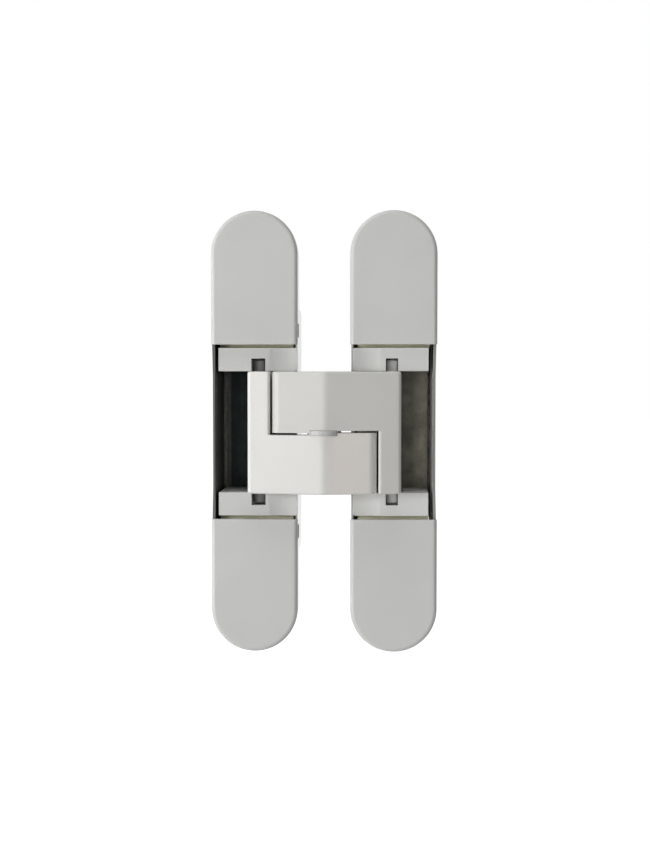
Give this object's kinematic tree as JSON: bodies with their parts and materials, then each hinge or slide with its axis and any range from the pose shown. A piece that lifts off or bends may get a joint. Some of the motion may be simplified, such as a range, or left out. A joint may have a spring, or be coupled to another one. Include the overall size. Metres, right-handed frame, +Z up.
{
  "type": "concealed door hinge",
  "caption": "Concealed invisible door hinge: two slim round-ended mortise bodies joined by crossed L-shaped arms that fold away when the door closes, shown open at 180 degrees.",
  "frame": {"origin": "centre of the frame side's four fixing holes, on the back face of its shallow ends", "axes": "+X from the frame side to the door side, +Y into the wood, +Z up along both bodies"},
  "size_m": [0.0625, 0.0359, 0.122],
  "materials": {
    "grey_paint": "matt pale grey powder paint",
    "casing_steel": "bare pressed steel, slightly dull",
    "plated_steel": "faintly yellow zinc plating",
    "bare_casting": "as-cast grey zinc alloy",
    "pin_steel": "ground",
    "screw_steel": "bright zinc plating",
    "bush_brass": "turned",
    "dark_polymer": "moulded",
    "grey_polymer": "moulded"
  },
  "bodies": {
    "frame_side": {"frame_casing": "casing_steel", "frame_end_block_upper": "bare_casting", "frame_end_block_lower": "bare_casting", "frame_cap_upper": "grey_paint", "frame_cap_lower": "grey_paint", "frame_clamp_screws": "screw_steel"},
    "frame_carrier": {"frame_cradle": "plated_steel", "frame_guide_block_upper": "grey_paint", "frame_guide_block_lower": "grey_paint", "frame_block_screws": "screw_steel", "frame_pivot_pin": "pin_steel", "frame_pivot_spacer": "dark_polymer"},
    "upper_arm_body": {"upper_arm": "grey_paint", "upper_arm_slide_pin": "pin_steel", "centre_bush": "bush_brass"},
    "lower_arm_body": {"lower_arm": "grey_paint", "lower_arm_slide_pin": "pin_steel", "centre_pin": "pin_steel", "centre_washer": "grey_polymer"},
    "door_carrier": {"door_cradle": "plated_steel", "door_guide_block_upper": "grey_paint", "door_guide_block_lower": "grey_paint", "door_block_screws": "screw_steel", "door_pivot_pin": "pin_steel", "door_pivot_spacer": "dark_polymer"},
    "door_side": {"door_casing": "casing_steel", "door_end_block_upper": "bare_casting", "door_end_block_lower": "bare_casting", "door_cap_upper": "grey_paint", "door_cap_lower": "grey_paint", "door_clamp_screws": "screw_steel"}
  },
  "joints": [
    {"name": "frame_height", "type": "slide", "parent": "frame_side", "child": "frame_carrier", "axis": [0, 0, 1], "range_m": [-0.002, 0.002]},
    {"name": "fold", "type": "hinge", "parent": "frame_carrier", "child": "upper_arm_body", "pos_m": [0.0079, -0.0052, 0], "axis": [0, 0, 1], "range_deg": [-95, 0]},
    {"name": "centre_pivot", "type": "hinge", "parent": "upper_arm_body", "child": "lower_arm_body", "pos_m": [0.01955, -0.0184, 0], "axis": [0, 0, 1], "range_deg": [0, 10]},
    {"name": "door_pivot", "type": "hinge", "parent": "lower_arm_body", "child": "door_carrier", "pos_m": [0.0312, -0.0052, 0], "axis": [0, 0, 1], "range_deg": [-95, 0]},
    {"name": "side_slide", "type": "slide", "parent": "door_carrier", "child": "door_side", "axis": [1, 0, 0], "range_m": [-0.0004, 0.0008]}
  ],
  "couplings": [
    {"joint": "centre_pivot", "follows": "fold", "ratio": -0.10526},
    {"joint": "door_pivot", "follows": "fold", "ratio": 1}
  ]
}
